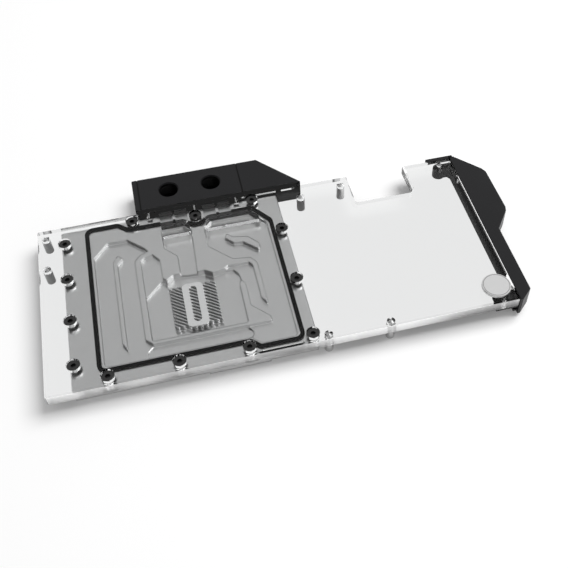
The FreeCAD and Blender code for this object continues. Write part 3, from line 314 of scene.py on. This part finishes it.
class MetalSettings(bpy.types.PropertyGroup):
    plate_colour: bpy.props.FloatVectorProperty(
        name="Plating", description="Colour of the cold plate's plating", subtype="COLOR", size=4,
        default=grey(0.74))
    sheet_colour: bpy.props.FloatVectorProperty(
        name="Jet Plate", description="Colour of the jet plate", subtype="COLOR", size=4,
        default=grey(0.97))
    screw_colour: bpy.props.FloatVectorProperty(
        name="Screws", description="Colour of the screws' plating", subtype="COLOR", size=4,
        default=grey(0.5))
    clamp_colour: bpy.props.FloatVectorProperty(
        name="Clamp Screws", description="Colour of the dark screws that clamp the plates",
        subtype="COLOR", size=4, default=grey(0.08))
    standoff_colour: bpy.props.FloatVectorProperty(
        name="Stand-offs", description="Colour of the stand-offs", subtype="COLOR", size=4,
        default=grey(0.62))
    satin: bpy.props.FloatProperty(
        name="Satin", description="Roughness of the plating", default=0.3, min=0, max=1)
    edge_radius: bpy.props.FloatProperty(
        name="Edge Radius", description="How far the milled edges look rounded", default=0.0014,
        unit="LENGTH")


class BlackPartSettings(bpy.types.PropertyGroup):
    port_colour: bpy.props.FloatVectorProperty(
        name="Port Block", description="Colour of the port block", subtype="COLOR", size=4,
        default=(0.009, 0.009, 0.010, 1.0))
    cover_colour: bpy.props.FloatVectorProperty(
        name="Cover", description="Colour of the end cover", subtype="COLOR", size=4,
        default=(0.010, 0.010, 0.011, 1.0))
    # painted shade: near black in the port block's fine grooves
    painted_groove_shade: bpy.props.FloatVectorProperty(
        name="Groove Colour", description="Colour in the grooves", subtype="COLOR", size=4,
        default=grey(0.0005))
    grooves: bpy.props.FloatVectorProperty(
        name="Grooves", description="Places of the two fine grooves along the port block", size=2,
        precision=4, default=(-0.0747, -0.0135))
    groove_width: bpy.props.FloatProperty(
        name="Groove Width", description="Width of the shaded line at a groove", default=0.0009,
        unit="LENGTH")


class SealSettings(bpy.types.PropertyGroup):
    spread: bpy.props.FloatProperty(
        name="Spread", description="How far the clamped seal spreads to each side",
        default=0.00013, unit="LENGTH")
    rise: bpy.props.FloatProperty(
        name="Rise", description="How far the clamped seal rises", default=0.00008, unit="LENGTH")


class ThreadSettings(bpy.types.PropertyGroup):
    port_pitch: bpy.props.FloatProperty(
        name="Port Thread", description="Pitch of the port threads", default=0.001337,
        unit="LENGTH")
    port_radius: bpy.props.FloatProperty(
        name="Port Radius", description="Core radius of the ports", default=0.00575, unit="LENGTH")
    port_length: bpy.props.FloatProperty(
        name="Port Length", description="Length of the port threads", default=0.01, unit="LENGTH")
    port_start: bpy.props.FloatProperty(
        name="Port Start", description="How far below the mouths the threads start",
        default=0.0005, unit="LENGTH")
    ridge: bpy.props.FloatProperty(
        name="Ridge", description="Height of the thread's ridge as a share of its pitch",
        default=0.42, min=0, max=1)


class LightStripSettings(bpy.types.PropertyGroup):
    glow: bpy.props.FloatProperty(
        name="Glow", description="Brightness of the light strip", default=0.1, min=0)
    line_width: bpy.props.FloatProperty(
        name="Line Width", description="Width of the bright line", default=0.0004, unit="LENGTH")
    blade_length: bpy.props.FloatProperty(
        name="Blade Length", description="Length of the wide bright blade at the front",
        default=0.0095, unit="LENGTH")
    badge_colour: bpy.props.FloatVectorProperty(
        name="Badge", description="Colour of the round badge", subtype="COLOR", size=4,
        default=grey(0.75))
    ring_colour: bpy.props.FloatVectorProperty(
        name="Ring", description="Colour of the badge's turned ring", subtype="COLOR", size=4,
        default=grey(0.42))
    ring_place: bpy.props.FloatProperty(
        name="Ring Place", description="The ring's radius as a share of the badge's", default=0.9,
        min=0, max=1)
    ring_width: bpy.props.FloatProperty(
        name="Ring Width", description="Half the ring's width as a share of the badge's radius",
        default=0.035, min=0, max=1)


class StageSettings(bpy.types.PropertyGroup):
    lens: bpy.props.FloatProperty(
        name="Lens", description="Focal length on a 36 mm wide sensor", default=52.393)
    floor_paint: bpy.props.FloatProperty(
        name="Floor Paint", description="Paleness of the floor", default=0.8, min=0, max=1)
    floor_dimmed: bpy.props.FloatProperty(
        name="Floor Dimmed", description="How much darker the paint is through clear parts",
        default=0.72, min=0)
    floor_glow: bpy.props.FloatProperty(
        name="Floor Glow", description="Lift of the floor towards white", default=0.15, min=0)
    floor_far_glow: bpy.props.FloatProperty(
        name="Far Glow", description="Lift of the far floor towards white", default=0.8, min=0)
    floor_near: bpy.props.FloatProperty(
        name="Near", description="Distance at which the far floor's lift begins", default=0.4,
        unit="LENGTH")
    floor_far: bpy.props.FloatProperty(
        name="Far", description="Distance at which the far floor's lift is full", default=1.2,
        unit="LENGTH")
    floor_reflected: bpy.props.FloatProperty(
        name="Floor Reflected", description="Lift of the floor in shiny parts", default=0.1, min=0)
    floor_behind: bpy.props.FloatProperty(
        name="Floor Behind", description="Lift of the floor through clear parts", default=0.87,
        min=0)
    fill: bpy.props.FloatProperty(
        name="Fill", description="Light from all round", default=0.58, min=0)
    matt_drop: bpy.props.FloatProperty(
        name="Matt Drop", description="How much less of the fill reaches matt faces", default=0.17,
        min=0)
    softbox: bpy.props.FloatProperty(
        name="Softbox", description="Power of the softbox", default=37.5, min=0)
    softbox_size: bpy.props.FloatProperty(
        name="Softbox Size", description="Width of the softbox", default=1.4, unit="LENGTH")
    softbox_place: bpy.props.FloatVectorProperty(
        name="Softbox Place", description="Where the softbox hangs", subtype="TRANSLATION",
        default=(1.0, 0.19, 1.7))
    card: bpy.props.FloatProperty(
        name="Card", description="Brightness of the card on the right", default=2.4, min=0)
    front_share: bpy.props.FloatProperty(
        name="Front Share",
        description="Brightness of the front card as a share of the right card's", default=0.36,
        min=0)
    back_card: bpy.props.FloatProperty(
        name="Back Card", description="Brightness of the card behind the block", default=0.64,
        min=0)


SETTINGS = {"block_plate": ClearPlateSettings, "block_metal": MetalSettings,
            "block_black": BlackPartSettings, "block_seal": SealSettings, "block_thread": ThreadSettings,
            "block_strip": LightStripSettings, "block_stage": StageSettings}


# Operators


class FinishClearPlate(bpy.types.Operator):
    """Clear acrylic for the top plate"""
    bl_idname = "block.clear_plate"
    bl_label = "Clear Plate"

    def execute(self, context):
        values = context.scene.block_plate
        material = finish_material(
            "clear_acrylic", "Milled Surface",
            {"Colour": values.tint, "Tone Change": 0.01, "Marks Per Metre": 400, "Roughness": values.haze},
            bump=0.00001, strength=0.02, Transmission_Weight=1.0, IOR=1.49, Specular_Tint=grey(0.5))
        # painted light and shade on the sawn sides: a glow that grows towards the top, and a darker tint
        self.roughen_tint_and_glow_sides(material, values)
        dress(["top_plate"], material)
        return {"FINISHED"}

    def roughen_tint_and_glow_sides(self, material, values):
        """Roughens the sawn left and front sides, tints them darker as painted shade and paints a glow on
        them as painted light, more of it the higher up: they are the places close to the plate's lowest X
        and lowest Y."""
        tree = material.node_tree
        shader = tree.nodes["Principled BSDF"]
        low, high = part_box("top_plate")
        axes = block_axes(tree)
        left, front = [worked(tree, "COMPARE", axes[axis], bound, 10 * HAIR)
                       for axis, bound in (("X", low[0]), ("Y", low[1]))]
        mask = worked(tree, "MAXIMUM", left, front)
        polished = shader.inputs["Roughness"].links[0].from_socket
        # painted light: the glow on the sides grows from the bottom to the top
        rise = ramped(tree, axes["Z"], low[2], high[2], *values.painted_glow_rise)
        # painted light: the sawn sides glow
        feed_all(tree, shader, Roughness=worked(tree, "MULTIPLY_ADD", mask, values.side_haze, polished),
                 Emission_Color=worked(tree, "MULTIPLY", mask, rise), Emission_Strength=values.side_painted_glow)
        # painted shade: the sawn sides are tinted darker
        paint_over(material, mask, values.side_shade_tint)


class FinishColdPlate(bpy.types.Operator):
    """Plated metal for the cold plate, and sheet metal for the jet plate"""
    bl_idname = "block.cold_plate"
    bl_label = "Cold Plate"

    def execute(self, context):
        values = context.scene.block_metal
        plated = finish_material(
            "plated_copper", "Milled Surface",
            {"Colour": values.plate_colour, "Tone Change": 0.15, "Marks Per Metre": 900,
             "Roughness": values.satin}, bump=0.00002, strength=0.15, metallic=1.0)
        round_edges(plated, values.edge_radius)
        sheet = finish_material(
            "jet_sheet", "Milled Surface",
            {"Colour": values.sheet_colour, "Tone Change": 0.05, "Marks Per Metre": 1500,
             "Roughness": 0.2}, bump=0.00001, strength=0.1, metallic=1.0)
        dress(["cold_plate"], plated)
        dress(["jet_plate"], sheet)
        return {"FINISHED"}


class FinishSeals(bpy.types.Operator):
    """Black rubber for the seals, and the main seal as it sits when clamped"""
    bl_idname = "block.seals"
    bl_label = "Seals"

    def execute(self, context):
        values = context.scene.block_seal
        rubber = finish_material(
            "seal_rubber", "Fine Grain",
            {"Colour": grey(0.004), "Grains Per Metre": 4000, "Roughness": 0.5},
            bump=0.00002, strength=0.2, Specular_IOR_Level=0.1)
        dress(["main_seal", "inlet_seal", "outlet_seal"], rubber)
        points, faces = self.pressed_section(nodes["main_seal"].data, values.spread, values.rise)
        pressed = mesh_piece("pressed_seal", points, faces, rubber, smooth=False)
        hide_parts("main_seal")
        return {"FINISHED"}

    def pressed_section(self, loose, spread, rise):
        """The loose ring's section has cut corners at its top. Each of its points moves outwards, along the
        level part of its faces' normals, until the section is a full rectangle that wets the groove."""
        points = np.array([vertex.co for vertex in loose.vertices])
        points, same = np.unique(np.round(points, 7), axis=0, return_inverse=True)
        faces = same.reshape(-1)[np.array([tuple(face.vertices) for face in loose.polygons])]
        outwards = np.zeros_like(points)
        for corner in range(faces.shape[1]):
            np.add.at(outwards, faces[:, corner], np.array([face.normal for face in loose.polygons]))
        outwards[:, 2] = 0
        outwards /= np.linalg.norm(outwards, axis=1)[:, None]
        levels = np.unique(np.round(points[:, 2], 5))
        top = points[:, 2] > levels[-1] - HAIR
        points += outwards * (spread + top * (levels[-1] - levels[-2]))[:, None]
        points[:, 2] += top * rise
        return points, faces


class FinishBlackParts(bpy.types.Operator):
    """Black plastic for the port block, the end cover and the light housing"""
    bl_idname = "block.black_parts"
    bl_label = "Black Parts"

    def execute(self, context):
        values = context.scene.block_black
        acetal = finish_material(
            "black_acetal", "Fine Grain",
            {"Colour": values.port_colour, "Grains Per Metre": 3000, "Roughness": 0.38},
            bump=0.00003, strength=0.25, Specular_IOR_Level=0.3)
        cover = finish_material(
            "black_cover", "Fine Grain",
            {"Colour": values.cover_colour, "Grains Per Metre": 2200, "Roughness": 0.33},
            bump=0.00003, strength=0.2, Specular_IOR_Level=0.3)
        board = finish_material(
            "board_mask", "Fine Grain",
            {"Colour": (0.02, 0.03, 0.02, 1), "Grains Per Metre": 900, "Roughness": 0.3},
            bump=0.00002, strength=0.2)
        self.shade_grooves(acetal, values)
        dress(["port_block"], acetal)
        dress(["end_cover", "light_housing"], cover)
        dress(["light_board"], board)
        return {"FINISHED"}

    def shade_grooves(self, material, values):
        """Paints shade into the two fine grooves across the port block: they are painted near black,
        however the light falls. They are the places whose distance along the block is near each groove's
        own."""
        tree = material.node_tree
        along = block_axes(tree)["X"]
        for groove in values.grooves:
            near = worked(tree, "COMPARE", along, groove, values.groove_width / 2)
            # painted shade in each groove
            paint_over(material, near, values.painted_groove_shade)


class FinishScrews(bpy.types.Operator):
    """Plating for the screws and the stand-offs, and a black finish for the clamp screws"""
    bl_idname = "block.screws"
    bl_label = "Screws And Stand-offs"

    def execute(self, context):
        values = context.scene.block_metal
        clamps = [name for name in nodes if name.startswith("clamp_screws")]
        others = [name for name in nodes if "screws" in name and name not in clamps]
        standoffs = [name for name in nodes if name.startswith("standoffs")]
        for name, colour, change, marks, roughness, pieces in (
                ("screw_plating", values.screw_colour, 0.1, 4000, 0.22, others),
                ("turned_brass_plated", values.standoff_colour, 0.1, 5000, 0.25, standoffs),
                ("screw_black_oxide", values.clamp_colour, 0.3, 4000, 0.4, clamps)):
            finish = finish_material(
                name, "Milled Surface",
                {"Colour": colour, "Tone Change": change, "Marks Per Metre": marks,
                 "Roughness": roughness}, bump=0.00001, strength=0.1, metallic=1.0)
            dress(pieces, finish)
        return {"FINISHED"}


class AddPortThreads(bpy.types.Operator):
    """Cut threads in the two ports, painted darker than the port block as the shade inside the ports"""
    bl_idname = "block.port_threads"
    bl_label = "Port Threads"

    def execute(self, context):
        values = context.scene.block_thread
        # painted shade: the threads are a darker copy of the port block's black acetal, so the ports look
        # as dark as their shaded insides
        dark = finish_material(
            "thread_painted_shade", "Fine Grain",
            {"Colour": grey(0.002), "Grains Per Metre": 3000, "Roughness": 0.3},
            bump=0.00002, strength=0.2, Specular_IOR_Level=0.1)
        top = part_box("port_block")[1][2] - values.port_start
        shapes = [thread_surface(mount["pos_m"][:2], values.port_radius - 2 * HAIR,
                                 values.port_pitch * values.ridge, values.port_pitch,
                                 top - values.port_length, top)
                  for mount in frame["record"]["mounts"] if mount["name"] in ("inlet_port", "outlet_port")]
        points, faces = joined(shapes)
        mesh_piece("port_threads", points, faces, dark)
        return {"FINISHED"}


class FinishLightStrip(bpy.types.Operator):
    """The bright strip, its lamps and the badge"""
    bl_idname = "block.light_strip"
    bl_label = "Light Strip"

    def execute(self, context):
        values = context.scene.block_strip
        milky = finish_material(
            "milky_strip", "Fine Grain", {"Grains Per Metre": 1500, "Roughness": 0.4},
            bump=0.00001, strength=0.1)
        self.light_top(milky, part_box("light_guide"), values)
        lamp = finish_material(
            "lamp_lens", "Fine Grain",
            {"Colour": (0.8, 0.8, 0.6, 1), "Grains Per Metre": 2000, "Roughness": 0.2},
            bump=0.00001, strength=0.1)
        badge = finish_material(
            "badge_plating", "Milled Surface",
            {"Colour": values.badge_colour, "Tone Change": 0.05, "Marks Per Metre": 3000,
             "Roughness": 0.35}, bump=0.00001, strength=0.1, metallic=0.6)
        self.ring_badge(badge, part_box("badge"), values)
        dress(["light_guide"], milky)
        dress(["light_diodes"], lamp)
        dress(["badge"], badge)
        return {"FINISHED"}

    def light_top(self, material, box, values):
        """Lets a narrow line on the top face glow, and the whole width of the blade at the front. The
        painted rest is black. The places are told apart by their coordinates in the block's frame."""
        tree = material.node_tree
        axes = block_axes(tree)
        top = worked(tree, "GREATER_THAN", axes["Z"], box[1][2] - 30 * HAIR)
        line = worked(tree, "GREATER_THAN", axes["X"], box[1][0] - values.line_width)
        blade = worked(tree, "LESS_THAN", axes["Y"], box[0][1] + values.blade_length)
        mask = worked(tree, "MULTIPLY", top, worked(tree, "MAXIMUM", line, blade))
        feed_all(tree, tree.nodes["Principled BSDF"], Base_Color=mixed(tree, mask, grey(0.01), grey(0.8)),
                 Emission_Color=mixed(tree, mask, grey(0.0), grey(1.0)), Emission_Strength=values.glow)

    def ring_badge(self, material, box, values):
        """A turned ring near the rim: darker where the distance from the axis is near the ring's radius."""
        tree = material.node_tree
        low, high = box
        flat = node(tree, "ShaderNodeVectorMath", operation="MULTIPLY")
        feed(tree, block_place(tree), flat.inputs[0])
        feed(tree, (1, 1, 0), flat.inputs[1])
        reach = node(tree, "ShaderNodeVectorMath", operation="DISTANCE")
        feed(tree, flat.outputs[0], reach.inputs[0])
        feed(tree, ((low[0] + high[0]) / 2, (low[1] + high[1]) / 2, 0), reach.inputs[1])
        radius = (high[0] - low[0]) / 2
        ring = worked(tree, "COMPARE", reach.outputs["Value"], radius * values.ring_place,
                      radius * values.ring_width)
        paint_over(material, ring, values.ring_colour)


class SetStage(bpy.types.Operator):
    """The floor, the lamps and the camera"""
    bl_idname = "block.stage"
    bl_label = "Stage"

    def execute(self, context):
        values = context.scene.block_stage
        scene = context.scene
        scene.view_settings.view_transform = "Standard"
        scene.cycles.max_bounces = 32
        scene.cycles.glossy_bounces = 24
        scene.cycles.transmission_bounces = 32
        scene.cycles.caustics_refractive = False
        self.add_floor(values)
        self.add_world(scene, values)
        self.add_softbox(scene, values)
        self.add_cards(values)
        self.add_camera(scene, values)
        return {"FINISHED"}

    def add_floor(self, values):
        """A flat square grid well past the camera's view, a hair below the block. It glows a little for the
        camera, and more the further it is from the block, and more still behind clear parts, where the
        plate's own shadow would hide it."""
        material = bpy.data.materials.new("studio_white")
        material.use_nodes = True
        tree = material.node_tree
        tree.nodes.clear()
        ray = node(tree, "ShaderNodeLightPath").outputs
        pale = worked(tree, "MULTIPLY_ADD", ray["Is Transmission Ray"], -values.floor_dimmed,
                      values.floor_paint)
        paint = feed_all(tree, node(tree, "ShaderNodeBsdfDiffuse"), Color=pale)
        distance = node(tree, "ShaderNodeVectorMath", operation="LENGTH")
        feed(tree, block_place(tree), distance.inputs[0])
        by_distance = ramped(tree, distance.outputs["Value"], values.floor_near, values.floor_far,
                             values.floor_glow, values.floor_far_glow, interpolation_type="SMOOTHSTEP")
        seen, reflected, behind = [
            worked(tree, "MULTIPLY", ray[label], lift)
            for label, lift in (("Is Camera Ray", by_distance), ("Is Glossy Ray", values.floor_reflected),
                                ("Is Transmission Ray", values.floor_behind))]
        most = worked(tree, "MAXIMUM", worked(tree, "MAXIMUM", seen, reflected), behind)
        glow = feed_all(tree, node(tree, "ShaderNodeEmission"), Strength=most)
        both = node(tree, "ShaderNodeAddShader")
        feed(tree, paint.outputs[0], both.inputs[0])
        feed(tree, glow.outputs[0], both.inputs[1])
        feed_all(tree, node(tree, "ShaderNodeOutputMaterial"), Surface=both.outputs[0])
        along = np.linspace(-3.0, 3.0, 5)
        x, y = np.meshgrid(along, along, indexing="ij")
        points = np.stack([x, y, np.full_like(x, -2 * HAIR)], axis=-1)
        mesh_object("studio_floor", points, grid_faces(len(along), len(along)), material)

    def add_world(self, scene, values):
        """White behind the block for the camera, and a plain even fill for all other light, a little
        less of it on matt faces, where the softbox makes up for it with a deeper shadow."""
        world = bpy.data.worlds.new("studio")
        scene.world = world
        world.use_nodes = True
        tree = world.node_tree
        ray = node(tree, "ShaderNodeLightPath").outputs
        level = worked(tree, "MULTIPLY_ADD", ray["Is Camera Ray"], 1.0 - values.fill, values.fill)
        level = worked(tree, "MULTIPLY_ADD", ray["Is Diffuse Ray"], -values.matt_drop, level)
        feed_all(tree, tree.nodes["Background"], Color=grey(1.0), Strength=level)

    def add_softbox(self, scene, values):
        """A wide softbox high on the right, aimed at the block, which shiny and clear faces don't show."""
        place = Vector(values.softbox_place)
        lamp = bpy.data.lights.new("high_softbox", "AREA")
        lamp.shape = "SQUARE"
        lamp.size = values.softbox_size
        lamp.energy = values.softbox
        holder = bpy.data.objects.new("high_softbox", lamp)
        scene.collection.objects.link(holder)
        holder.location = place
        holder.rotation_euler = (-place).to_track_quat("-Z", "Y").to_euler()
        holder.visible_glossy = False
        holder.visible_transmission = False

    def add_cards(self, values):
        """A dark card on the left, which shiny faces mirror, and three bright ones for the metal under the
        clear plate, which leave no image on the plate itself or on the black parts."""
        self.add_card("left_card", (-0.8, -0.25, 0.6), 1.1, 1.1, 0.0)
        for name, place, width, height, strength in (
                ("right_card", (0.95, -0.3, 0.7), 1.2, 1.1, values.card),
                ("front_card", (0.25, -0.95, 0.8), 1.1, 0.9, values.card * values.front_share),
                ("back_card", (0.42, 0.75, 0.95), 1.5, 1.2, values.back_card)):
            self.add_card(name, place, width, height, strength).visible_glossy = False

    def add_card(self, name, place, width, height, strength):
        """A flat card that faces the block and that neither the camera nor matt faces see."""
        material = bpy.data.materials.new(name)
        material.use_nodes = True
        tree = material.node_tree
        feed_all(tree, tree.nodes["Principled BSDF"], Base_Color=grey(0.02), Roughness=1.0,
                 Specular_IOR_Level=0.0, Emission_Color=grey(1.0), Emission_Strength=strength)
        place = Vector(place)
        aim = (-place).to_track_quat("Z", "Y").to_matrix()
        across = np.linspace(-0.5, 0.5, 3)
        u, v = np.meshgrid(across * width, across * height, indexing="ij")
        flat = np.stack([u, v, np.zeros_like(u)], axis=-1).reshape(-1, 3)
        points = flat @ np.array(aim).T + np.array(place)
        card = mesh_object(name, points, grid_faces(len(across), len(across)), material)
        card.visible_camera = False
        card.visible_diffuse = False
        card.visible_shadow = False
        return card

    def add_camera(self, scene, values):
        """Looks down the measured direction: pitch below level, yaw to the right of +Y, a little roll."""
        pitch, yaw, roll = CAMERA_PITCH, CAMERA_YAW, CAMERA_ROLL
        ahead = Vector((math.sin(yaw) * math.cos(pitch), math.cos(yaw) * math.cos(pitch), -math.sin(pitch)))
        level = ahead.cross(Vector((0, 0, 1))).normalized()
        down = ahead.cross(level)
        right = math.cos(roll) * level + math.sin(roll) * down
        below = -math.sin(roll) * level + math.cos(roll) * down
        camera = bpy.data.cameras.new("camera")
        camera.sensor_width = 36
        camera.lens = values.lens
        camera.shift_x, camera.shift_y = CAMERA_SHIFT
        camera.clip_start = 0.01
        camera.clip_end = 20
        holder = bpy.data.objects.new("camera", camera)
        scene.collection.objects.link(holder)
        turned = Matrix((right, -below, -ahead)).transposed().to_4x4()
        holder.matrix_world = Matrix.Translation(CAMERA_PLACE) @ turned
        scene.camera = holder


OPERATORS = (FinishClearPlate, FinishColdPlate, FinishSeals, FinishBlackParts, FinishScrews, AddPortThreads,
             FinishLightStrip, SetStage)


class BlockPanel(bpy.types.Panel):
    """Lists the block's finishes"""
    bl_idname = "VIEW3D_PT_cooling_block"
    bl_label = "Cooling Block"
    bl_space_type = "VIEW_3D"
    bl_region_type = "UI"
    bl_category = "Cooling Block"

    def draw(self, context):
        for operator in OPERATORS:
            self.layout.operator(operator.bl_idname)
        for name, settings in SETTINGS.items():
            for label in settings.__annotations__:
                self.layout.prop(getattr(context.scene, name), label)


def register():
    for made in (*SETTINGS.values(), *OPERATORS, BlockPanel):
        bpy.utils.register_class(made)
    for name, settings in SETTINGS.items():
        setattr(bpy.types.Scene, name, bpy.props.PointerProperty(type=settings))


def unregister():
    for name in SETTINGS:
        delattr(bpy.types.Scene, name)
    for made in reversed((*SETTINGS.values(), *OPERATORS, BlockPanel)):
        bpy.utils.unregister_class(made)


def main():
    register()
    groups["Milled Surface"] = milled_surface_group()
    groups["Fine Grain"] = fine_grain_group()
    for operator in OPERATORS:
        family, name = operator.bl_idname.split(".")
        getattr(getattr(bpy.ops, family), name)()


if __name__ == "__main__":
    main()
